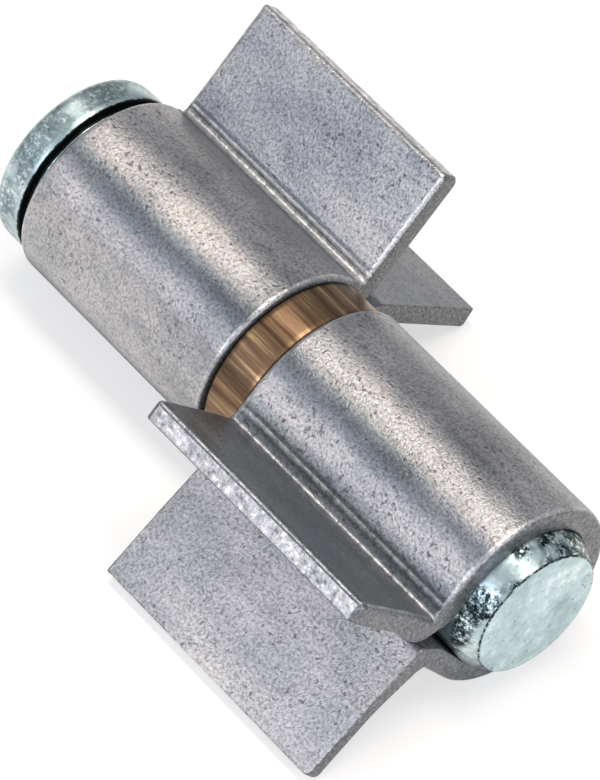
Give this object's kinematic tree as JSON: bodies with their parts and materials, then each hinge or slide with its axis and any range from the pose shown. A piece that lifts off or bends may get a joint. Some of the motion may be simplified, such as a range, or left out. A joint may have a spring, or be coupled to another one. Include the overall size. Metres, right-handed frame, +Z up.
{
  "type": "weld-on barrel hinge",
  "caption": "Weld-on barrel hinge: rolled sheet-steel knuckles with splayed wings turn on a headed pin, with a brass bearing ring between them.",
  "frame": {"origin": "on the hinge axis, midway between the two knuckles at the middle of the brass ring", "axes": "+X along the hinge axis from the pin head to the pin tip, +Z up from the floor the hinge lies on, +Y towards the head-side wings"},
  "size_m": [0.0889, 0.0608, 0.0313],
  "materials": {
    "sheet_steel": "bare pressed sheet, slightly mottled",
    "zinc_plated_steel": "zinc plated, pale blue passivated",
    "ring_brass": "turned, dull"
  },
  "bodies": {
    "head_side": {"head_side_knuckle": "sheet_steel"},
    "tip_side": {"tip_side_knuckle": "sheet_steel"},
    "pin": {"hinge_pin": "zinc_plated_steel"},
    "ring": {"brass_ring": "ring_brass"}
  },
  "joints": [
    {"name": "knuckle_swing", "type": "hinge", "parent": "head_side", "child": "tip_side", "pos_m": [0, 0, 0], "axis": [1, 0, 0], "continuous": true},
    {"name": "ring_spin", "type": "hinge", "parent": "head_side", "child": "ring", "pos_m": [0, 0, 0], "axis": [1, 0, 0], "continuous": true},
    {"name": "pin_draw", "type": "slide", "parent": "head_side", "child": "pin", "axis": [-1, 0, 0], "range_m": [-0.0008, 0.083]}
  ]
}
